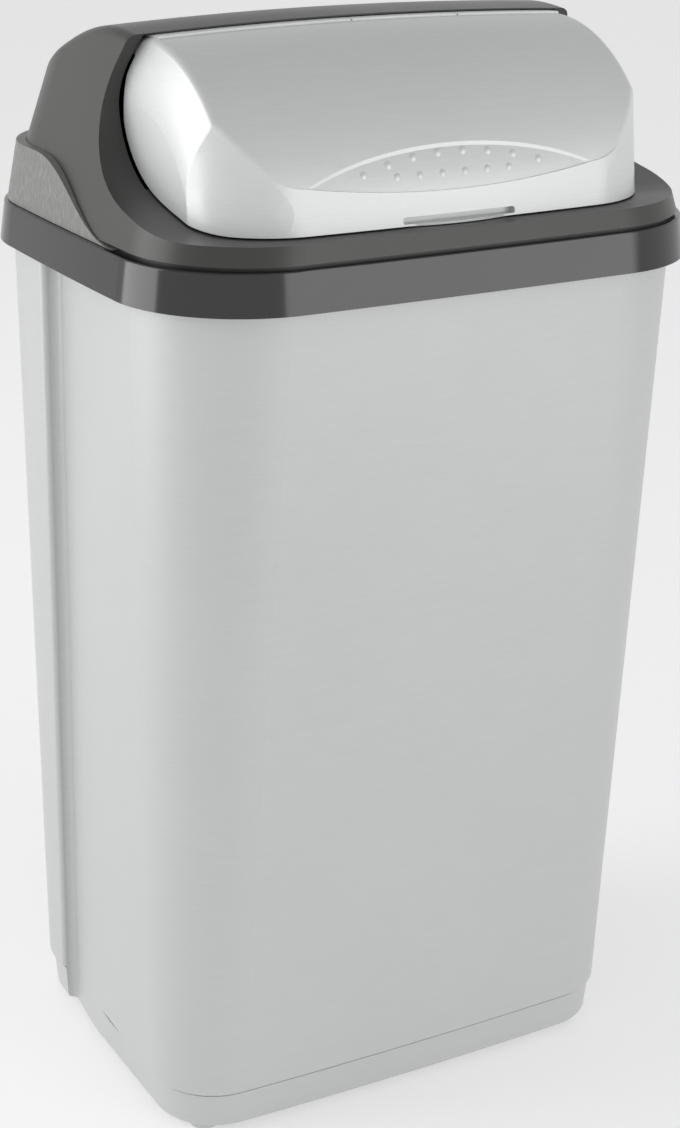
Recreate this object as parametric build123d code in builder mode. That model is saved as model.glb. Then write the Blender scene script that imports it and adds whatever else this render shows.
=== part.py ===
from build123d import *
import os
from math import cos, radians, sin, sqrt

os.makedirs("parts", exist_ok=True)

# Frame: the origin lies on the floor under the middle of the bin, Y points to the
# rear, Z up, and the opening of the lid faces -Y. All sizes are in millimetres.

# Container: a tapered bucket, measured outside at the plinth line and under the band
plinth_top = 31.3
band_bottom = 547.8
body_bottom = 4.7
container_side_setback = 9.6
container_front_setback = 9.6
container_rear_setback = 10.0
side_taper = 9.9
front_taper = 34.0
low_front_corner = 44.0
high_front_corner = 69.7
low_rear_corner = 56.0
high_rear_corner = 70.0
front_bow = 3.7
container_wall = 2.2
floor_thickness = 3.3
bottom_round = 3.5

# Side panels: each is a shallow arc that starts behind a step and runs out to the
# full width near the front corner
low_step_share = 0.4956
high_step_share = 0.3074
low_panel_recess = 9.5
high_panel_recess = 11.9
low_apex_share = -0.3764
high_apex_share = -0.4078
step_foot_share = 0.55
step_edge_share = 0.32
step_foot_limit = 0.75
least_round = 0.6

# Plinth: the foot of the container, drawn in under the wall
plinth_inset = 2.0
plinth_draft = 1.7
plinth_side_bow = 0.5
plinth_line_height = 2.2
plinth_line_depth = 1.0

# Nubs under the four corners
nub_radius = 9.0
nub_side_setback = 27.0
nub_front_setback = 25.8
nub_rear_setback = 31.4

# Rim band: the collar ring that clamps over the container's rim
band_height = 24.2
band_half_width = 187.5
band_half_depth = 159.4
band_corner = 79.3
band_side_bow = 3.1
band_front_bow = 2.6
band_draft = 3.3
band_wall = 2.5
band_edge_round = 1.2
band_skirt_depth = 22.0
rim_thickness = 2.4
rim_lip_depth = 9.0
fit_gap = 0.4

# Hood: the dark shell that carries the flap
shadow_gap = 2.5
hood_wall = 2.5
hood_side_setback = 8.0
hood_front_setback = 3.4
hood_rear_setback = 9.2
hood_front_corner = 73.0
hood_rear_corner = 67.0
hood_side_lean = 0.273
hood_front_lean = 0.15
hood_rear_lean = 0.20
hood_edge_round = 7.0
hood_foot_setback = 4.0
hood_foot_width = 5.0
hood_skirt_depth = 12.0
hood_rise = 118.0
hood_crown_radius = 2700.0
ledge_rise = 13.3
ledge_window_round = 30.0
ledge_window_reach = 10.0
roof_overrun = 10.0
roof_steep_drop = 0.72
mouth_floor_reach = 15.0

# Roof profile: way from the pivot to the back, and drop from the top, as shares of the whole
roof_shape = [
    (-0.1665, 0.0563),
    (0.0555, 0.0139),
    (0.1942, 0.0035),
    (0.3885, 0.0519),
    (0.6104, 0.1905),
    (0.8213, 0.4069),
    (0.9378, 0.7100),
    (1.0100, 1.1731),
]

# Jamb of the opening: way back from the pivot, and rise above the ledge, in flap radii
jamb_shape = [
    (-0.8597, 0.0),
    (-0.4977, 0.0471),
    (-0.2715, 0.0923),
    (-0.0543, 0.1783),
    (0.1267, 0.3548),
    (0.1810, 0.5493),
    (0.1357, 0.7303),
    (0.0543, 0.8932),
]

# Rear collar: the textured upstand that wraps round the back of the hood
collar_inset = 3.0
collar_side_lean = 0.16
collar_rear_lean = 0.11
collar_corner = 69.0
collar_rise = 36.3
collar_front_share = 0.4015
collar_shoulder_share = 0.3639
collar_low_reach = 50.0
collar_high_reach = 46.0
collar_seam = 0.3

# Flap: the light cap that rolls back under the roof. Its panel is a crowned barrel
# about the pivot axis, and its front corners are rounded in plan
pivot_drop = 10.3
flap_wall = 2.2
flap_roof_gap = 4.5
flap_crown_radius = 2720.0
flap_side_setback = 31.0
flap_shoulder = 10.0
flap_side_bulge = 2.2
flap_side_share = 0.6335
flap_seat_gap = 0.5
flap_front_setback = 14.4
flap_front_cover = 1.1
flap_front_lean = 0.24
flap_low_corner = 56.0
flap_corner_lean = 0.18
flap_bow_radius = 2247.0
flap_crease_round = 5.0
flap_edge_gap = 0.9
flap_rear_reach = 17.0
flap_rear_depth = 18.0
flap_outline_spare = 1.4
flap_outline_height = 110.0
mouth_gap = 1.7
ledge_overlap = 8.5

# Strip at the flap's rear edge: a little raised, behind a groove, with two ticks across it
strip_reach = 4.0
strip_height = 1.2
strip_end_inset = 3.0
groove_width = 2.6
groove_depth = 1.2
tick_places = (-11.0, 62.0)
tick_width = 1.0

# Skirt: the upright foot of the flap's front, which stands a little proud of the barrel.
# Its upper edge runs outwards from the lens, in shares of the flap's half width, and up
skirt_edge = [(0.724, 27.8), (0.785, 32.7), (0.842, 38.2), (0.95, 43.7)]

# Lens: an eye-shaped recess to push against, deepest along its upper arc, with two rows of dots
lens_half_width = 96.0
lens_tip_rise = 25.0
lens_low_rise = 17.6
lens_high_rise = 42.2
lens_floor_growth = 0.5
lens_floor_drop = 3.4
lens_tip_lead = 0.4
dot_radius = 1.8
dot_height = 0.4
upper_dots = 8
upper_dot_pitch = 16.5
upper_dot_rise = 36.0
upper_dot_sag = 8.4
lower_dots = 6
lower_dot_pitch = 14.8
lower_dot_rise = 25.2

# Finger grip in the flap's lower edge: a pocket above a lip that bulges forward
grip_half_width = 37.0
grip_height = 3.8
grip_depth = 6.0
grip_wall = 2.0
grip_lip = 1.3
grip_bulge = 2.6
grip_round = 1.5

# Pivot: a short pin on each side joins an arm of the flap to a lug of the hood
pin_radius = 3.0
pin_clearance = 0.06
pin_in_lug = 9.0
arm_half_width = 13.0
arm_drop = 7.5
arm_front_rise = 30.0
arm_rear_rise = 50.0
lug_gap = 0.8
lug_root_inset = 8.2
lug_half_length = 9.0
lug_depth = 11.5

# Values that follow from the driving sizes
high_half_width = band_half_width - container_side_setback
low_half_width = high_half_width - side_taper
high_front = container_front_setback - band_half_depth
low_front = high_front + front_taper
container_rear = band_half_depth - container_rear_setback
hood_half_width = band_half_width - hood_side_setback
hood_front = hood_front_setback - band_half_depth
hood_rear = band_half_depth - hood_rear_setback
band_top = band_bottom + band_height
hood_top = band_top + hood_rise
ledge_height = band_top + ledge_rise
collar_top = band_top + collar_rise
collar_front_y = -collar_front_share * band_half_depth
collar_shoulder_y = collar_shoulder_share * band_half_depth
pivot_z = ledge_height - pivot_drop
flap_radius = hood_top - flap_roof_gap - pivot_z
flap_side_radius = flap_side_share * flap_radius
flap_half_width = hood_half_width - flap_side_setback
flap_top_half_width = flap_half_width - flap_shoulder
flap_bottom = ledge_height + flap_seat_gap
flap_front = hood_front + flap_front_setback
pivot_y = flap_front + flap_front_cover + flap_radius
flap_rear_y = pivot_y + flap_rear_reach
strip_front_y = pivot_y - strip_reach
plate_underside = band_top - band_wall
hood_bottom = band_top + shadow_gap
base_plate_top = hood_bottom + hood_wall
floor_top = body_bottom + floor_thickness
skirt_outside = container_wall + fit_gap
skirt_inside = skirt_outside + band_wall
hood_skirt_outside = skirt_inside + fit_gap
hood_skirt_inside = hood_skirt_outside + hood_wall
collar_bottom = band_top + collar_seam
hood_swing = 5.0
spare = 20.0
beyond = 400.0


def blend(low, high, height):
    """Value of a tapered size at a height, from its two measured levels."""
    share = (height - plinth_top) / (band_bottom - plinth_top)
    return low + (high - low) * share


def container_outline(height, inset=0.0):
    """Plan outline of the container with its recessed side panels, or one inside it."""
    full_width = blend(low_half_width, high_half_width, height)
    recess = blend(low_panel_recess, high_panel_recess, height)
    apex_y = blend(low_apex_share, high_apex_share, height) * band_half_depth
    outer_step_y = blend(low_step_share, high_step_share, height) * band_half_depth
    panel_radius = ((outer_step_y - apex_y) ** 2 + recess**2) / (2 * recess)
    centre_x = full_width - panel_radius
    half_width = full_width - inset
    front = blend(low_front, high_front, height) + inset
    rear = container_rear - inset
    step_y = outer_step_y + inset
    corner_y = front + front_bow
    corner_x = centre_x + sqrt((panel_radius - inset) ** 2 - (corner_y - apex_y) ** 2)
    foot_x = centre_x + sqrt((panel_radius - inset) ** 2 - (step_y - apex_y) ** 2)
    edge_round = max(recess * step_edge_share - inset, least_round)
    room = (half_width - foot_x - edge_round) * step_foot_limit
    foot_round = min(recess * step_foot_share + inset, room)
    with BuildSketch(Plane.XY.offset(height)) as outline:
        with BuildLine():
            ThreePointArc((-corner_x, corner_y), (0, front), (corner_x, corner_y))
            ThreePointArc((corner_x, corner_y), (half_width, apex_y), (foot_x, step_y))
            Line((foot_x, step_y), (half_width, step_y))
            Line((half_width, step_y), (half_width, rear))
            Line((half_width, rear), (-half_width, rear))
            Line((-half_width, rear), (-half_width, step_y))
            Line((-half_width, step_y), (-foot_x, step_y))
            ThreePointArc((-foot_x, step_y), (-half_width, apex_y), (-corner_x, corner_y))
        make_face()
        rear_corner = blend(low_rear_corner, high_rear_corner, height) - inset
        front_corner = blend(low_front_corner, high_front_corner, height) - inset
        fillet(outline.vertices().group_by(Axis.Y)[-1], rear_corner)
        fillet(outline.vertices().group_by(Axis.Y)[0], front_corner)
        step_ends = outline.vertices().filter_by(lambda v: abs(v.Y - step_y) < 0.01)
        fillet(step_ends.filter_by(lambda v: abs(v.X) > half_width - 0.01), edge_round)
        step_ends = outline.vertices().filter_by(lambda v: abs(v.Y - step_y) < 0.01)
        fillet(step_ends.filter_by(lambda v: abs(v.X) < foot_x + 0.01), foot_round)
    return outline.sketch


def bowed_outline(height, half_width, front, rear, front_corner, rear_corner_radius, side_bow, end_bow):
    """Rounded rectangle whose four sides bulge a little."""
    corner_x = half_width - side_bow
    middle_y = (front + rear) / 2
    with BuildSketch(Plane.XY.offset(height)) as outline:
        with BuildLine():
            front_y = front + end_bow
            rear_y = rear - end_bow
            ThreePointArc((-corner_x, front_y), (0, front), (corner_x, front_y))
            ThreePointArc((corner_x, front_y), (half_width, middle_y), (corner_x, rear_y))
            ThreePointArc((corner_x, rear_y), (0, rear), (-corner_x, rear_y))
            ThreePointArc((-corner_x, rear_y), (-half_width, middle_y), (-corner_x, front_y))
        make_face()
        fillet(outline.vertices().group_by(Axis.Y)[-1], rear_corner_radius)
        fillet(outline.vertices().group_by(Axis.Y)[0], front_corner)
    return outline.sketch


def band_outline(height, inset=0.0):
    """Plan outline of the rim band, narrower towards its top."""
    draft = inset + band_draft * (height - band_bottom) / band_height
    return bowed_outline(
        height,
        band_half_width - draft,
        -band_half_depth + draft,
        band_half_depth - draft,
        band_corner - draft,
        band_corner - draft,
        band_side_bow,
        band_front_bow,
    )


def hood_outline(height, inset=0.0):
    """Plan outline of the hood, whose cheeks and back lean inwards."""
    rise = height - hood_bottom
    return bowed_outline(
        height,
        hood_half_width - hood_side_lean * rise - inset,
        hood_front + hood_front_lean * rise + inset,
        hood_rear - hood_rear_lean * rise - inset,
        hood_front_corner - inset,
        hood_rear_corner - inset,
        band_side_bow,
        band_front_bow,
    )


def collar_outline(height):
    """Outer outline of the rear collar."""
    rise = height - band_top
    side = collar_inset + band_draft + collar_side_lean * rise
    rear = collar_inset + band_draft + collar_rear_lean * rise
    return bowed_outline(
        height,
        band_half_width - side,
        -band_half_depth + side,
        band_half_depth - rear,
        band_corner - side,
        collar_corner,
        band_side_bow,
        band_front_bow,
    )


def flap_outline(height, inset=0.0):
    """Plan outline of the flap's cap, open to the rear."""
    rise = height - flap_bottom
    half_width = flap_half_width + flap_outline_spare - inset
    front = flap_front + flap_front_lean * rise + inset
    corner = flap_low_corner - flap_corner_lean * rise - inset
    with BuildSketch(Plane.XY.offset(height)) as outline:
        with BuildLine():
            side_y = front + half_width**2 / (2 * flap_bow_radius)
            ThreePointArc((-half_width, side_y), (0, front), (half_width, side_y))
            Line((half_width, side_y), (half_width, spare))
            Line((half_width, spare), (-half_width, spare))
            Line((-half_width, spare), (-half_width, side_y))
        make_face()
        fillet(outline.vertices().group_by(Axis.Y)[0], corner)
    return outline.sketch


def panel_radius_at(x):
    """Radius of the flap's crowned panel at a distance from the middle plane."""
    return flap_radius - x**2 / (2 * flap_crown_radius)


def barrel(growth=0.0):
    """Crowned barrel about the pivot axis, whose ends round inwards with the radius."""
    edge = (flap_top_half_width + growth, panel_radius_at(flap_top_half_width) + growth)
    side = (flap_half_width + growth, flap_side_radius)
    chord_middle = ((edge[0] + side[0]) / 2, (edge[1] + side[1]) / 2)
    middle = (chord_middle[0] + flap_side_bulge * 0.96, chord_middle[1] + flap_side_bulge * 0.27)
    with BuildSketch(Plane(origin=(0, pivot_y, pivot_z), x_dir=(1, 0, 0), z_dir=(0, -1, 0))) as profile:
        with BuildLine():
            ThreePointArc((-edge[0], edge[1]), (0, flap_radius + growth), edge)
            ThreePointArc(edge, middle, side)
            Line(side, (side[0], 0))
            Line((side[0], 0), (-side[0], 0))
            Line((-side[0], 0), (-side[0], side[1]))
            ThreePointArc((-side[0], side[1]), (-middle[0], middle[1]), (-edge[0], edge[1]))
        make_face()
    with BuildPart() as block:
        revolve(profile.sketch, axis=Axis((0, pivot_y, pivot_z), (1, 0, 0)), revolution_arc=360)
    return block.part


def jamb_curve(shift_y=0.0, shift_z=0.0):
    """Side view of the hood's opening, from the ledge up to the roof's front edge."""
    start_y = pivot_y + shift_y
    start_z = ledge_height + shift_z
    points = [(start_y + way * flap_radius, start_z + rise * flap_radius) for way, rise in jamb_shape]
    return Spline(points, tangents=[(1, 0), (-0.35, 1)])


# Container
plinth_corner = low_front_corner - plinth_inset


def plinth_outline(height, draft):
    """Plan outline of the foot, drawn in from the wall above it."""
    return bowed_outline(
        height,
        low_half_width - draft,
        low_front + draft,
        container_rear - draft,
        plinth_corner,
        low_rear_corner - plinth_inset,
        plinth_side_bow,
        front_bow,
    )


with BuildPart() as plinth_body:
    foot = plinth_outline(body_bottom, plinth_inset + plinth_draft)
    loft([foot, plinth_outline(plinth_top, plinth_inset)], ruled=True)
    fillet(plinth_body.faces().sort_by(Axis.Z)[0].outer_wire().edges(), bottom_round)

# What is cut away round the plinth, with a narrow groove that draws its upper edge
with BuildPart() as plinth_trim:
    with BuildSketch(Plane.XY):
        Rectangle(beyond, beyond)
    extrude(amount=plinth_top)
    add(plinth_body.part, mode=Mode.SUBTRACT)
    line_bottom = plinth_top - plinth_line_height
    with BuildSketch(Plane.XY.offset(line_bottom)):
        Rectangle(beyond, beyond)
    extrude(amount=plinth_line_height)
    line_inset = plinth_inset + plinth_line_depth
    line_outlines = [plinth_outline(line_bottom, line_inset), plinth_outline(plinth_top, line_inset)]
    loft(line_outlines, ruled=True, mode=Mode.SUBTRACT)

# The rim turns outwards under the band, with a short lip down
with BuildPart() as rim:
    lip_bottom = plate_underside - rim_lip_depth
    lip_outside = band_wall + fit_gap
    loft([band_outline(lip_bottom, lip_outside), band_outline(plate_underside, lip_outside)], ruled=True)
    lip_inside = lip_outside + rim_thickness
    under_rim = plate_underside - rim_thickness
    under_lip = [band_outline(lip_bottom - 1, lip_inside), band_outline(under_rim, lip_inside)]
    loft(under_lip, ruled=True, mode=Mode.SUBTRACT)

# Inside the plinth the wall steps in as well, so that it keeps its thickness
with BuildPart() as plinth_liner:
    liner_top = plinth_top + container_wall
    with BuildSketch(Plane.XY):
        Rectangle(beyond, beyond)
    extrude(amount=liner_top)
    liner_low = plinth_outline(0, plinth_inset + plinth_draft + container_wall)
    liner_high = plinth_outline(liner_top, plinth_inset + container_wall)
    loft([liner_low, liner_high], ruled=True, mode=Mode.SUBTRACT)

with BuildPart() as container_cavity:
    cavity_low = container_outline(floor_top, container_wall)
    cavity_high = container_outline(plate_underside + 1, container_wall)
    loft([cavity_low, cavity_high], ruled=True)
    add(plinth_liner.part, mode=Mode.SUBTRACT)

with BuildPart() as container:
    loft([container_outline(body_bottom), container_outline(plate_underside)], ruled=True)
    add(plinth_trim.part, mode=Mode.SUBTRACT)
    add(rim.part)
    add(container_cavity.part, mode=Mode.SUBTRACT)
    with BuildSketch(Plane.XY):
        nub_x = low_half_width - nub_side_setback
        nub_ys = (low_front + nub_front_setback, container_rear - nub_rear_setback)
        with Locations(*[(x, y) for x in (-nub_x, nub_x) for y in nub_ys]):
            Circle(nub_radius)
    extrude(amount=body_bottom + floor_thickness / 2)
container.part.label = "container"
export_step(container.part, "parts/container.step")


# Rim band: a drop outside the rim, a plate over it and a skirt inside the container
with BuildPart() as rim_band:
    loft([band_outline(band_bottom), band_outline(band_top)], ruled=True)
    fillet(rim_band.faces().sort_by(Axis.Z)[-1].outer_wire().edges(), band_edge_round)
    channel = [band_outline(band_bottom - 1, band_wall), band_outline(plate_underside, band_wall)]
    loft(channel, ruled=True, mode=Mode.SUBTRACT)
    skirt_bottom = band_top - band_skirt_depth
    skirt = [container_outline(skirt_bottom, skirt_outside), container_outline(band_top, skirt_outside)]
    loft(skirt, ruled=True)
    aperture_low = container_outline(skirt_bottom - 1, skirt_inside)
    aperture_high = container_outline(band_top + 1, skirt_inside)
    loft([aperture_low, aperture_high], ruled=True, mode=Mode.SUBTRACT)
rim_band.part.label = "rim_band"
export_step(rim_band.part, "parts/rim_band.step")


# Hood: the cheeks and back come from a leaning outline, the top from a crowned roof
# profile, and the front is cut back along the jamb of the opening
def roof_block(inset):
    """Everything under the roof, whose profile is swung about a far axis for its crown."""
    with BuildSketch(Plane.YZ) as profile:
        with BuildLine():
            length = hood_rear - pivot_y
            height = hood_top - hood_bottom
            points = []
            for way, drop in roof_shape:
                tilt = radians(90 * min(1, drop / roof_steep_drop))
                y = pivot_y + way * length - inset * sin(tilt)
                points.append((y, hood_top - drop * height - inset * cos(tilt)))
            roof_line = Spline(points)
            front_y = hood_front - spare
            Line(roof_line @ 1, (front_y, hood_bottom - spare))
            Line((front_y, hood_bottom - spare), (front_y, (roof_line @ 0).Y))
            Line((front_y, (roof_line @ 0).Y), roof_line @ 0)
        make_face()
    crown_axis = Axis((0, 0, hood_top - hood_crown_radius), (0, 1, 0))
    with BuildPart() as block:
        start = profile.sketch.rotate(crown_axis, -hood_swing)
        revolve(start, axis=crown_axis, revolution_arc=2 * hood_swing)
    return block.part


def jamb_block(inset):
    """Everything behind the jamb and under the front ledge."""
    with BuildSketch(Plane.YZ) as profile:
        with BuildLine():
            jamb = jamb_curve(inset, -inset)
            low = jamb @ 0
            high = jamb @ 1
            roof_level = hood_top + spare
            under_hood = hood_bottom - spare
            Line(high, (high.X, roof_level))
            Line((high.X, roof_level), (hood_rear + spare, roof_level))
            Line((hood_rear + spare, roof_level), (hood_rear + spare, under_hood))
            Line((hood_rear + spare, under_hood), (hood_front - spare, under_hood))
            Line((hood_front - spare, under_hood), (hood_front - spare, low.Y))
            Line((hood_front - spare, low.Y), low)
        make_face()
    with BuildPart() as block:
        extrude(profile.sketch, amount=beyond / 2, both=True)
    return block.part


with BuildPart() as hood_block:
    loft([hood_outline(hood_bottom), hood_outline(hood_top + roof_overrun)], ruled=True)
    add(roof_block(0.0), mode=Mode.INTERSECT)
    add(jamb_block(0.0), mode=Mode.INTERSECT)
    roof_face = hood_block.faces().filter_by(lambda f: f.center().Z > collar_top).sort_by(SortBy.AREA)[-1]
    roof_edges = roof_face.outer_wire().edges()
    roof_edges = roof_edges.filter_by(lambda e: e.center().Y > pivot_y + spare)
    roof_edges = roof_edges.filter_by(lambda e: e.center().Z > hood_bottom + spare)
    fillet(roof_edges, hood_edge_round)

with BuildPart() as hood_cavity:
    hood_inside_low = hood_outline(base_plate_top, hood_wall)
    hood_inside_high = hood_outline(hood_top + roof_overrun, hood_wall)
    loft([hood_inside_low, hood_inside_high], ruled=True)
    add(roof_block(hood_wall), mode=Mode.INTERSECT)
    add(jamb_block(hood_wall), mode=Mode.INTERSECT)

# The rolling flap passes through the jamb behind the pivot, and only there
with BuildPart() as roll_path:
    add(barrel(mouth_gap))
    with Locations((0, pivot_y - mouth_floor_reach, base_plate_top)):
        Box(beyond, beyond, beyond, align=(Align.CENTER, Align.MIN, Align.MIN), mode=Mode.INTERSECT)

foot_inside = hood_outline(hood_bottom, hood_foot_setback + hood_foot_width)
foot_ring = hood_outline(hood_bottom, hood_foot_setback) - foot_inside
skirt_low = band_top - hood_skirt_depth

with BuildPart() as lugs:
    lug_x = flap_half_width + lug_gap
    lug_reach = hood_half_width - lug_root_inset - lug_x
    lug_middle = lug_x + lug_reach / 2
    with Locations((lug_middle, pivot_y, base_plate_top), (-lug_middle, pivot_y, base_plate_top)):
        Box(lug_reach, 2 * lug_half_length, lug_depth, align=(Align.CENTER, Align.CENTER, Align.MAX))
    with BuildSketch(Plane.YZ.offset(-lug_x - pin_in_lug - lug_gap)):
        with Locations((pivot_y, pivot_z)):
            Circle(pin_radius + pin_clearance)
    extrude(amount=2 * (lug_x + pin_in_lug + lug_gap), mode=Mode.SUBTRACT)

with BuildPart() as hood:
    add(hood_block.part)
    add(hood_cavity.part, mode=Mode.SUBTRACT)
    add(roll_path.part, mode=Mode.SUBTRACT)
    with BuildSketch(Plane.XY.offset(base_plate_top)):
        window_front_y = flap_front + ledge_overlap
        window_rear_y = pivot_y + ledge_window_reach
        with Locations((0, (window_front_y + window_rear_y) / 2)):
            window_width = 2 * (flap_half_width - ledge_overlap)
            RectangleRounded(window_width, window_rear_y - window_front_y, ledge_window_round)
    extrude(amount=2 * spare, mode=Mode.SUBTRACT)
    extrude(foot_ring, amount=-shadow_gap)
    hood_skirt_low = container_outline(skirt_low, hood_skirt_outside)
    hood_skirt_high = container_outline(base_plate_top, hood_skirt_outside)
    loft([hood_skirt_low, hood_skirt_high], ruled=True)
    aperture_low = container_outline(skirt_low - 1, hood_skirt_inside)
    aperture_high = container_outline(base_plate_top + 1, hood_skirt_inside)
    loft([aperture_low, aperture_high], ruled=True, mode=Mode.SUBTRACT)
    add(lugs.part)
hood.part.label = "hood"
export_step(hood.part, "parts/hood.step")


def flap_side(shift):
    """Room for the flap: in front of the jamb, over the ledge, and a slot under the roof."""
    with BuildSketch(Plane.YZ) as profile:
        with BuildLine():
            jamb = jamb_curve(-shift, shift)
            above = hood_top + spare
            ahead = hood_front - spare
            Line(jamb @ 1, ((jamb @ 1).X, above))
            Line(((jamb @ 1).X, above), (ahead, above))
            Line((ahead, above), (ahead, flap_bottom))
            Line((ahead, flap_bottom), jamb @ 0)
        make_face()
    with BuildPart() as block:
        extrude(profile.sketch, amount=beyond / 2, both=True)
        with Locations((0, flap_rear_y, hood_top - flap_rear_depth)):
            Box(beyond, beyond / 2, beyond, align=(Align.CENTER, Align.MAX, Align.MIN))
    return block.part


flap_low_level = flap_bottom - spare / 2
flap_high_level = flap_bottom + flap_outline_height

with BuildPart() as flap_block:
    loft([flap_outline(flap_low_level), flap_outline(flap_high_level)], ruled=True)
    add(barrel(), mode=Mode.INTERSECT)
    with Locations((0, flap_rear_y, flap_bottom)):
        Box(beyond, beyond, beyond, align=(Align.CENTER, Align.MAX, Align.MIN), mode=Mode.INTERSECT)
    cheek_edges = flap_block.edges().filter_by(lambda e: abs(e.center().X) > flap_half_width - flap_shoulder)
    cheek_edges = cheek_edges.filter_by(lambda e: abs(e.center().Y - flap_front - flap_low_corner) < spare)
    cheek_edges = cheek_edges.filter_by(lambda e: e.center().Z > flap_bottom + 1)
    panel = flap_block.faces().filter_by(GeomType.REVOLUTION).sort_by(SortBy.AREA)[-1]
    crease_x = flap_half_width - flap_low_corner
    creases = panel.outer_wire().edges().filter_by(lambda e: abs(e.center().X) > crease_x)
    fillet(creases + cheek_edges, flap_crease_round)
    add(flap_side(flap_edge_gap), mode=Mode.INTERSECT)

with BuildPart() as flap_hollow:
    loft([flap_outline(flap_low_level, flap_wall), flap_outline(flap_high_level, flap_wall)], ruled=True)
    add(barrel(-flap_wall), mode=Mode.INTERSECT)

with BuildPart() as arms:
    with BuildSketch(Plane.YZ.offset(-flap_half_width)) as arm_side:
        with BuildLine():
            arm_front = (pivot_y - arm_half_width, pivot_z + arm_front_rise)
            arm_rear = (pivot_y + arm_half_width, pivot_z + arm_rear_rise)
            eye_front = (pivot_y - arm_drop, pivot_z)
            eye_rear = (pivot_y + arm_drop, pivot_z)
            Line(arm_front, eye_front)
            ThreePointArc(eye_front, (pivot_y, pivot_z - arm_drop), eye_rear)
            Line(eye_rear, arm_rear)
            Line(arm_rear, arm_front)
        make_face()
    extrude(arm_side.sketch, amount=flap_wall)
    mirror(about=Plane.YZ)
    with BuildSketch(Plane.YZ.offset(-flap_half_width - 1)):
        with Locations((pivot_y, pivot_z)):
            Circle(pin_radius)
    extrude(amount=2 * (flap_half_width + 1), mode=Mode.SUBTRACT)

# The strip runs across the flap just in front of the roof and on under it
strip_length = 2 * (flap_top_half_width - strip_end_inset)

with BuildPart() as strip:
    with Locations((0, strip_front_y, flap_high_level)):
        strip_depth = flap_rear_y - strip_front_y
        Box(strip_length, strip_depth, 2 * spare, align=(Align.CENTER, Align.MIN, Align.CENTER))
    add(barrel(strip_height), mode=Mode.INTERSECT)
    add(barrel(-flap_wall / 2), mode=Mode.SUBTRACT)
    with Locations(*[(x, strip_front_y, flap_high_level) for x in tick_places]):
        Box(tick_width, 2 * strip_reach, 2 * spare, mode=Mode.SUBTRACT)

with BuildPart() as groove_tool:
    with Locations((0, strip_front_y, flap_high_level)):
        Box(strip_length, groove_width, 2 * spare, align=(Align.CENTER, Align.MAX, Align.CENTER))
    add(barrel(-groove_depth), mode=Mode.SUBTRACT)

# The skirt stays inside the flap's plan outline but not inside the barrel, below an edge that
# runs into the creases on both sides
front_plane = Plane(origin=(0, hood_front, flap_bottom), x_dir=(1, 0, 0), z_dir=(0, -1, 0))
lens_tips = ((-lens_half_width, lens_tip_rise), (lens_half_width, lens_tip_rise))

with BuildPart() as flap_skirt:
    with BuildSketch(front_plane) as skirt_front:
        with BuildLine():
            edge_points = [(share * flap_half_width, rise) for share, rise in skirt_edge]
            right_edge = Spline(lens_tips[1], *edge_points)
            mirror(right_edge, about=Plane.YZ)
            ThreePointArc(lens_tips[0], (0, lens_low_rise), lens_tips[1])
            high = right_edge @ 1
            Polyline((high.X, high.Y), (high.X, 0), (-high.X, 0), (-high.X, high.Y))
        make_face()
    extrude(skirt_front.sketch, amount=hood_front - pivot_y)
    loft([flap_outline(flap_low_level), flap_outline(flap_high_level)], ruled=True, mode=Mode.INTERSECT)

# The lens lies above the skirt. Its upper wall is upright, and shows as a bright arc where it
# cuts the barrel; its floor is the barrel's own form, dropped a little
def panel_y(x, z, growth=0.0):
    """Front of the flap's panel, or of one that is grown, at a place in front view."""
    return pivot_y - sqrt((panel_radius_at(x) + growth) ** 2 - (z - pivot_z) ** 2)


lens_floor = Pos(0, 0, -lens_floor_drop) * barrel(lens_floor_growth)

with BuildPart() as lens_tool:
    with BuildSketch(front_plane) as above_skirt:
        with BuildLine():
            ThreePointArc(lens_tips[0], (0, lens_low_rise), lens_tips[1])
            lens_top = lens_high_rise + spare
            Polyline(lens_tips[1], (lens_half_width, lens_top), (-lens_half_width, lens_top), lens_tips[0])
        make_face()
    extrude(above_skirt.sketch, amount=hood_front - pivot_y)
    with BuildSketch(Plane.XY.offset(flap_bottom)) as ahead_of_wall:
        with BuildLine():
            tip_y = panel_y(lens_half_width, flap_bottom + lens_tip_rise) - lens_tip_lead
            ends = ((-lens_half_width, tip_y), (lens_half_width, tip_y))
            ThreePointArc(ends[0], (0, panel_y(0, flap_bottom + lens_high_rise)), ends[1])
            Polyline(ends[1], (lens_half_width, hood_front), (-lens_half_width, hood_front), ends[0])
        make_face()
    extrude(ahead_of_wall.sketch, amount=lens_top, mode=Mode.INTERSECT)
    add(lens_floor, mode=Mode.SUBTRACT)


def dot(x, rise):
    """Raised dome on the lens's floor."""
    foot_y = panel_y(x, flap_bottom + rise + lens_floor_drop, lens_floor_growth)
    sunk = dot_radius**2 / (2 * dot_height) - dot_height / 2
    dome_radius = sunk + dot_height
    return Pos(x, foot_y + sunk, flap_bottom + rise) * Sphere(dome_radius, mode=Mode.PRIVATE)


with BuildPart() as grip_block:
    with Locations((0, flap_front + grip_wall, flap_bottom)):
        block_height = grip_lip + grip_height + grip_wall
        block_width = 2 * (grip_half_width + grip_wall)
        Box(block_width, grip_depth + grip_wall, block_height, align=(Align.CENTER, Align.MIN, Align.MIN))

with BuildPart() as grip_tool:
    with Locations((0, hood_front, flap_bottom + grip_lip)):
        pocket_reach = flap_front + grip_depth - hood_front
        Box(2 * grip_half_width, pocket_reach, grip_height, align=(Align.CENTER, Align.MIN, Align.MIN))
    fillet(grip_tool.edges().filter_by(Axis.Y), grip_round)

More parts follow.
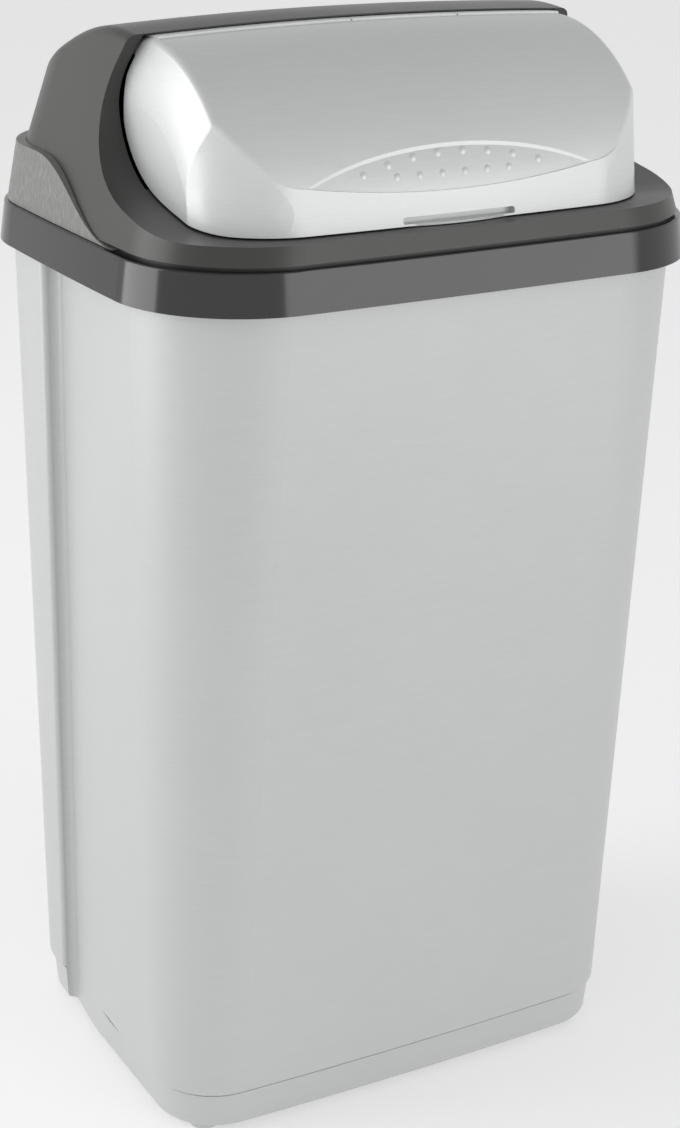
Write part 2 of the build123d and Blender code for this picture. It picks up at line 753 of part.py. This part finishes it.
# The lip under the grip bulges forward, so that a finger finds it
with BuildPart() as grip_tongue:
    with BuildSketch(Plane.XY.offset(flap_bottom)) as tongue:
        with BuildLine():
            tongue_y = flap_front + flap_wall
            lip_ends = ((-grip_half_width, tongue_y), (grip_half_width, tongue_y))
            ThreePointArc(lip_ends[0], (0, flap_front - grip_bulge), lip_ends[1])
            Line(lip_ends[1], lip_ends[0])
        make_face()
    extrude(tongue.sketch, amount=grip_lip)

# Skirt and dots stand out of the barrel, so its hollow is taken out of them
with BuildPart() as flap_relief:
    add(flap_skirt.part)
    for count, pitch, middle_rise, sag in (
        (upper_dots, upper_dot_pitch, upper_dot_rise, upper_dot_sag),
        (lower_dots, lower_dot_pitch, lower_dot_rise, 0.0),
    ):
        last_x = (count - 1) / 2 * pitch
        for index in range(count):
            x = index * pitch - last_x
            add(dot(x, middle_rise - sag * (x / last_x) ** 2))
    add(flap_hollow.part, mode=Mode.SUBTRACT)
    add(flap_side(flap_edge_gap), mode=Mode.INTERSECT)

with BuildPart() as flap:
    add(flap_block.part)
    add(flap_hollow.part, mode=Mode.SUBTRACT)
    add(grip_block.part)
    add(arms.part)
    add(strip.part)
    add(groove_tool.part, mode=Mode.SUBTRACT)
    add(lens_tool.part, mode=Mode.SUBTRACT)
    add(flap_relief.part)
    add(grip_tool.part, mode=Mode.SUBTRACT)
    add(grip_tongue.part)
flap.part.label = "flap"
export_step(flap.part, "parts/flap.step")

# Pivot pins
for side, name in ((-1, "pivot_pin_left"), (1, "pivot_pin_right")):
    with BuildPart() as pin:
        with BuildSketch(Plane.YZ.offset(side * (flap_half_width - flap_wall))):
            with Locations((pivot_y, pivot_z)):
                Circle(pin_radius)
        extrude(amount=side * (flap_wall + lug_gap + pin_in_lug))
    pin.part.label = name
    export_step(pin.part, f"parts/{name}.step")

# Rear collar: a leaning wall round the back of the hood, with an S-shaped top edge
with BuildPart() as collar_side:
    with BuildSketch(Plane.YZ) as profile:
        with BuildLine():
            Bezier(
                (collar_front_y, collar_bottom),
                (collar_front_y + collar_low_reach, collar_bottom),
                (collar_shoulder_y - collar_high_reach, collar_top),
                (collar_shoulder_y, collar_top),
            )
            behind = band_half_depth + spare
            Line((collar_shoulder_y, collar_top), (behind, collar_top))
            Line((behind, collar_top), (behind, collar_bottom))
            Line((behind, collar_bottom), (collar_front_y, collar_bottom))
        make_face()
    extrude(profile.sketch, amount=beyond / 2, both=True)

with BuildPart() as rear_collar:
    loft([collar_outline(collar_bottom), collar_outline(collar_top)], ruled=True)
    add(collar_side.part, mode=Mode.INTERSECT)
    inner = [hood_outline(hood_bottom, -collar_seam), hood_outline(collar_top + roof_overrun, -collar_seam)]
    loft(inner, ruled=True, mode=Mode.SUBTRACT)
    base = hood_outline(hood_bottom, hood_foot_setback - collar_seam)
    extrude(base, amount=-shadow_gap - 1, mode=Mode.SUBTRACT)
rear_collar.part.label = "rear_collar"
export_step(rear_collar.part, "parts/rear_collar.step")
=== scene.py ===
# %% [markdown]
# # A roll-top waste bin
# The real object is a tall moulded bin: a silver container, a dark band round its rim, a charcoal
# hood with a grained collar behind it, and a silver flap that rolls back under the hood's roof.
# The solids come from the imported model, which this script loads as its frame. Here the pieces get
# their finish: the surface of each moulding, and the light that shows it.

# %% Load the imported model
import math

import bpy
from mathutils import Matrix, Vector

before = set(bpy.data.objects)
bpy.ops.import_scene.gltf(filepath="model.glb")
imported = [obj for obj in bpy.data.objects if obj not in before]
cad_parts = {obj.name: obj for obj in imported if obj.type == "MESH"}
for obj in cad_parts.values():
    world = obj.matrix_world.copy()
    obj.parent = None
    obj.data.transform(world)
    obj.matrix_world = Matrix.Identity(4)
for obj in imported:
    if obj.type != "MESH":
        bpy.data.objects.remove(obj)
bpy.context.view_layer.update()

print("nodes:", sorted(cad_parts))

# %% [markdown]
# Blender's units are metres and the bin's details are measured in millimetres, so one constant
# does that step everywhere. Colours are written as the sRGB values that a colour chart gives, and
# the shaders want linear light, so one function turns them.

# %% Units and colours
MM = 0.001
WHITE = "FFFFFF"


def linear(code):
    """Linear RGBA of an sRGB colour such as "C8C9C7"."""
    shades = [int(code[i : i + 2], 16) / 255 for i in (0, 2, 4)]
    turned = [s / 12.92 if s <= 0.04045 else ((s + 0.055) / 1.055) ** 2.4 for s in shades]
    return (*turned, 1.0)


print("mid grey 808080 is", round(linear("808080")[0], 3), "in linear light")

# %% [markdown]
# Every finish here is built from nodes. One small helper adds a node, sets its options, and fills
# or links its inputs, so that each material below reads as a list of what it is made of. The
# helper turns an underscore into a space, because a socket's name may hold one.

# %% A helper for nodes
def feed(tree, socket, value):
    """Links another node's output to an input, or writes a number or a colour into it."""
    if isinstance(value, bpy.types.NodeSocket):
        tree.links.new(value, socket)
    else:
        socket.default_value = value


def add_node(tree, kind, options=None, **inputs):
    """Adds a node; an option is one of its settings, an input is one of its sockets."""
    node = tree.nodes.new(kind)
    for name, value in (options or {}).items():
        setattr(node, name, value)
    for name, value in inputs.items():
        feed(tree, node.inputs[name.replace("_", " ")], value)
    return node


# %% [markdown]
# A material starts with an empty tree and the object's own coordinates, so a grain keeps its size
# and stays on its piece when the piece moves. All finishes end in the same kind of shader, so one
# function makes it, with a fine relief of bumps on it.

# %% The start and the end of a material
RELIEF = 0.05 * MM  # height of the fine bumps that a mould or a lathe leaves


def new_material(name):
    """A material, its empty tree, and the object's coordinates in metres."""
    material = bpy.data.materials.new(name)
    material.use_nodes = True
    tree = material.node_tree
    tree.nodes.clear()
    return material, tree, add_node(tree, "ShaderNodeTexCoord").outputs["Object"]


def finish_material(material, bumps, strength, height=RELIEF, **surface):
    """Closes a material with a shader whose relief follows a texture."""
    tree = material.node_tree
    relief = add_node(tree, "ShaderNodeBump", Height=bumps, Strength=strength, Distance=height)
    shader = add_node(
        tree, "ShaderNodeBsdfPrincipled", Normal=relief.outputs["Normal"], **surface
    )
    add_node(tree, "ShaderNodeOutputMaterial", Surface=shader.outputs["BSDF"])
    print("material", material.name, "has", len(tree.nodes), "nodes")
    return material


# %% [markdown]
# Grain, polishing lines and clouds are all noise, drawn at different sizes or stretched one way.
# Noise keeps near its middle value, so its middle range is spread between the two values that
# the finish wants.

# %% Noise and mixed shades
NOISE_MIDDLE = (0.3, 0.7)
MIX_FIRST, MIX_SECOND, MIX_RESULT = 6, 7, 2  # places of a mix node's colour sockets


def noise(tree, place, size, detail):
    """Value of a noise whose lumps are about so many metres wide."""
    return add_node(
        tree, "ShaderNodeTexNoise", Vector=place, Scale=1 / size, Detail=detail
    ).outputs["Fac"]


def stretched(tree, place, upwards):
    """Coordinates multiplied upwards, which makes a texture on them lower or taller."""
    node = add_node(tree, "ShaderNodeMapping", {"vector_type": "POINT"}, Vector=place)
    node.inputs["Scale"].default_value = (1.0, 1.0, upwards)
    return node.outputs["Vector"]


def spread(tree, fact, low, high, middle=NOISE_MIDDLE):
    """Value of a noise, whose middle range is spread between two numbers."""
    start, end = middle
    return add_node(
        tree,
        "ShaderNodeMapRange",
        Value=fact,
        From_Min=start,
        From_Max=end,
        To_Min=low,
        To_Max=high,
    ).outputs["Result"]


def mixed(tree, blend, factor, first, second):
    """Colour output of two shades, each a colour or another node's output."""
    options = {"data_type": "RGBA", "blend_type": blend}
    node = add_node(tree, "ShaderNodeMix", options, Factor=factor)
    feed(tree, node.inputs[MIX_FIRST], first)
    feed(tree, node.inputs[MIX_SECOND], second)
    return node.outputs[MIX_RESULT]


def darkened(tree, shade, fact, low):
    """A shade multiplied by a noise that falls to a low value and rises to one."""
    return mixed(tree, "MULTIPLY", 1.0, shade, spread(tree, fact, low, 1.0))


print("noise between", *NOISE_MIDDLE, "is used in full")

# %% [markdown]
# ## Silver polypropylene
# The container and the flap are moulded in polypropylene with aluminium flake in it. Seen close,
# the flakes make a very fine sparkle of lighter and darker specks, and the polish of the mould
# leaves faint level lines. Over a hand's width the flow of the melt leaves clouds so faint that
# they are felt more than seen. The surface is satin: it blurs a window to a soft glow. A painted
# image could show all this, but three noises need no image and no unwrapping, and they keep
# their true size on both pieces.

# %% Silver polypropylene
PLASTIC_INDEX = 1.49
FLAKE = 0.5 * MM  # real flakes are under 0.1 mm, too fine to show, so they are drawn coarser
FLOW = 90 * MM
POLISH_LINE = 0.9 * MM  # real polishing lines are hundredths of a millimetre; drawn coarser too
POLISH_LENGTH = 25 * MM
FLAKE_LOW, LINE_LOW, CLOUD_LOW = 0.95, 0.965, 0.985  # how far each one darkens the colour
WANDER = 0.02  # how far the roughness strays over a surface


def silver_polypropylene(name, colour, roughness):
    """Satin polypropylene with aluminium flake, level polishing lines and very faint clouds."""
    material, tree, place = new_material(name)
    flakes = noise(tree, place, FLAKE, detail=2.0)
    clouds = noise(tree, place, FLOW, detail=1.0)
    level = stretched(tree, place, POLISH_LENGTH / POLISH_LINE)
    lines = noise(tree, level, POLISH_LENGTH, detail=2.0)
    shade = darkened(tree, linear(colour), flakes, FLAKE_LOW)
    shade = darkened(tree, shade, lines, LINE_LOW)
    shade = darkened(tree, shade, clouds, CLOUD_LOW)
    return finish_material(
        material,
        bumps=flakes,
        strength=0.05,
        Base_Color=shade,
        Roughness=spread(tree, lines, roughness - WANDER, roughness + WANDER),
        Metallic=0.3,
        IOR=PLASTIC_INDEX,
    )


container_silver = silver_polypropylene("silver polypropylene, container", "C9CACA", 0.42)
flap_silver = silver_polypropylene("silver polypropylene, flap", "DCDEDE", 0.38)

# %% [markdown]
# ## Dark mouldings
# The band and the hood come from polished moulds that are spark-eroded a little, so they are
# darker and glossier than the container, and they mirror the studio in soft blocks. The band's
# surface is the glossier of the two. One function makes both, so their grain is alike.

# %% Charcoal polypropylene
EROSION = 0.8 * MM  # a finely eroded mould has a grain of about 0.1 mm; drawn coarser to show
BAND_INDEX = 1.6  # a little above that of plain polypropylene, for clearer mirror blocks
EROSION_LOW = 0.9


def charcoal_polypropylene(name, colour, roughness, index):
    """Solid-coloured polypropylene from a finely eroded mould."""
    material, tree, place = new_material(name)
    grain = noise(tree, place, EROSION, detail=3.0)
    wipe = noise(tree, place, FLOW, detail=2.0)
    return finish_material(
        material,
        bumps=grain,
        strength=0.06,
        Base_Color=darkened(tree, linear(colour), grain, EROSION_LOW),
        Roughness=spread(tree, wipe, roughness - WANDER, roughness + 1.5 * WANDER),
        IOR=index,
    )


hood_charcoal = charcoal_polypropylene(
    "charcoal polypropylene, hood", "3A3A38", 0.34, PLASTIC_INDEX
)
band_grey = charcoal_polypropylene("charcoal polypropylene, band", "202020", 0.13, BAND_INDEX)

# %% [markdown]
# ## Grained collar
# The collar behind the hood has a grain of fine upright flecks, like coarse brushed metal copied
# into the mould. Noise drawn out upwards gives such flecks.

# %% Grained collar
FLECK_WIDTH = 1.2 * MM
FLECK_LENGTH = 9 * MM
FLECK_HEIGHT = 0.2 * MM
FLECK_RANGE = (0.45, 0.72)


def grained_collar(name, colour, fleck):
    """Mid-grey moulding with upright flecks that are both lighter and a little raised."""
    material, tree, place = new_material(name)
    upright = stretched(tree, place, FLECK_WIDTH / FLECK_LENGTH)
    flecks = noise(tree, upright, FLECK_WIDTH, detail=3.0)
    mask = spread(tree, flecks, 0.0, 1.0, FLECK_RANGE)
    return finish_material(
        material,
        bumps=flecks,
        strength=0.35,
        height=FLECK_HEIGHT,
        Base_Color=mixed(tree, "MIX", mask, linear(colour), linear(fleck)),
        Roughness=0.45,
        IOR=PLASTIC_INDEX,
    )


collar_grey = grained_collar("grained grey polypropylene, collar", "777775", "929290")

# %% [markdown]
# ## Pins
# The two pivot pins are hidden. Such pins are turned from acetal, which is white, waxy and hard.

# %% Acetal pins
LATHE_RING = 1.5 * MM
ACETAL_INDEX = 1.48


def turned_acetal(name, colour):
    """White acetal with the fine rings of a lathe."""
    material, tree, place = new_material(name)
    rings = add_node(
        tree, "ShaderNodeTexWave", {"bands_direction": "X"}, Vector=place, Scale=1 / LATHE_RING
    ).outputs["Fac"]
    return finish_material(
        material,
        bumps=rings,
        strength=0.1,
        Base_Color=linear(colour),
        Roughness=0.3,
        IOR=ACETAL_INDEX,
    )


pin_acetal = turned_acetal("turned acetal, pins", "E4E3DE")

# %% [markdown]
# ## Dress the mouldings
# Every visible piece is one moulding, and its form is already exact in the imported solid: the bin
# has no cloth, cord or hair that would need a new mesh. So each solid keeps its mesh and gets its
# finish. A dark and a light moulding meet only at seams, so one finish per piece is enough.

# %% Finishes on the solids
FINISHES = {
    "container": container_silver,
    "rim_band": band_grey,
    "hood": hood_charcoal,
    "rear_collar": collar_grey,
    "flap": flap_silver,
    "pivot_pin_left": pin_acetal,
    "pivot_pin_right": pin_acetal,
}


def dress(node, finish):
    """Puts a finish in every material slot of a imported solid."""
    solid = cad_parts[node]
    for slot in solid.material_slots:
        slot.material = finish
    print(node, "wears", finish.name, "on", len(solid.data.polygons), "triangles")


for node, finish in FINISHES.items():
    dress(node, finish)

# %% [markdown]
# ## Floor
# The photograph was taken on a white sweep that is lit from behind, so the floor is the brightest
# thing near the bin. A wide matt sheet that glows a little of its own looks the same, and it needs
# no light behind it.

# %% Floor
SWEEP_WIDTH = 60.0
PAPER_TOOTH = 2 * MM
TOOTH_HEIGHT = 0.1 * MM


def deselect_all():
    """Object mode with nothing selected."""
    if bpy.context.object and bpy.context.object.mode != "OBJECT":
        bpy.ops.object.mode_set(mode="OBJECT")
    bpy.ops.object.select_all(action="DESELECT")


def lit_floor(colour, glow, width):
    """Wide matt sheet with the fine tooth of paper, which also glows a little."""
    material, tree, place = new_material("matt paper sweep")
    finish_material(
        material,
        bumps=noise(tree, place, PAPER_TOOTH, detail=2.0),
        strength=0.02,
        height=TOOTH_HEIGHT,
        Base_Color=linear(colour),
        Roughness=0.9,
        Emission_Color=linear(WHITE),
        Emission_Strength=glow,
    )
    deselect_all()
    bpy.ops.mesh.primitive_plane_add(size=width, location=(0, 0, 0))
    floor = bpy.context.object
    floor.name = "white sweep"
    floor.data.materials.append(material)


lit_floor("EFEFEF", glow=0.30, width=SWEEP_WIDTH)

# %% [markdown]
# ## Light
# Overhead the studio is dark, which leaves the surfaces that face up darker than the sides, so the
# world's light falls off from the horizon upwards. A large panel stands at the left rear and a
# smaller one, low, at the right front. The front left corner turns through the dimmer gap between
# them, and the low panel lights the upper edge of the flap's lens.

# %% Dark ceiling, brighter horizon
HORIZON = 0.85
OVERHEAD = 0.46
CEILING_RISE = 0.8  # sine of the height above the horizon where the ceiling's level is reached
world = bpy.data.worlds.new("studio")
bpy.context.scene.world = world
world.use_nodes = True
studio = world.node_tree
way = add_node(studio, "ShaderNodeTexCoord").outputs["Generated"]
rise = add_node(studio, "ShaderNodeSeparateXYZ", Vector=way).outputs["Z"]
fall = add_node(
    studio,
    "ShaderNodeMapRange",
    {"interpolation_type": "SMOOTHSTEP"},
    Value=rise,
    From_Min=0.0,
    From_Max=CEILING_RISE,
    To_Min=HORIZON,
    To_Max=OVERHEAD,
)
background = studio.nodes["Background"]
feed(studio, background.inputs["Strength"], fall.outputs["Result"])
feed(studio, background.inputs["Color"], linear(WHITE))
print("the horizon is", round(HORIZON / OVERHEAD, 1), "times as bright as the ceiling")


# %% Soft panels
def soft_panel(name, place, target, width, height, radiance):
    """Rectangular area light that faces a point; its power follows from how bright it looks."""
    light = bpy.data.lights.new(name, "AREA")
    light.shape = "RECTANGLE"
    light.size = width
    light.size_y = height
    light.energy = radiance * math.pi * width * height
    panel = bpy.data.objects.new(name, light)
    panel.location = place
    towards = Vector(target) - Vector(place)
    panel.rotation_euler = towards.to_track_quat("-Z", "Y").to_euler()
    bpy.context.scene.collection.objects.link(panel)
    print(name, "is", round(towards.length, 2), "m away,", round(light.energy), "W")


BIN_MIDDLE = (0, 0, 0.4)
soft_panel(
    "left rear panel", (-2.4, 1.2, 1.0), BIN_MIDDLE, width=2.0, height=2.0, radiance=2.5
)
soft_panel(
    "right front panel", (1.3, -2.7, 0.8), BIN_MIDDLE, width=2.0, height=1.6, radiance=1.8
)

# %% Plain greys
# This view keeps a grey as light as its material and lamps make it, without a film curve
bpy.context.scene.view_settings.view_transform = "Standard"
print("view:", bpy.context.scene.view_settings.view_transform)

# %% [markdown]
# ## Camera
# The photograph's camera was found from the bin's straight edges: it stands in front on the left,
# looks down by about 21 degrees, and its lens is a short telephoto. It is placed by its direction
# and distance from a point inside the bin, and the picture is shifted on the sensor instead of
# turning the camera, which would change the slant of the edges.

# %% Camera
AZIMUTH = math.radians(-27.38)
ELEVATION = math.radians(20.65)
DISTANCE = 1.3935
AIM = Vector((-0.0565, 0.0, 0.344))
camera_data = bpy.data.cameras.new("camera")
camera = bpy.data.objects.new("camera", camera_data)
bpy.context.scene.collection.objects.link(camera)
bpy.context.scene.camera = camera
level_reach = math.cos(ELEVATION)
back = Vector(
    (math.sin(AZIMUTH) * level_reach, -math.cos(AZIMUTH) * level_reach, math.sin(ELEVATION))
)
camera.location = AIM + back * DISTANCE
camera.rotation_euler = (-back).to_track_quat("-Z", "Y").to_euler()
camera_data.sensor_width = 36.0
camera_data.lens = 68.926
camera_data.shift_x = 0.0747
camera_data.shift_y = -0.0027
print("camera at", [round(v, 3) for v in camera.location])
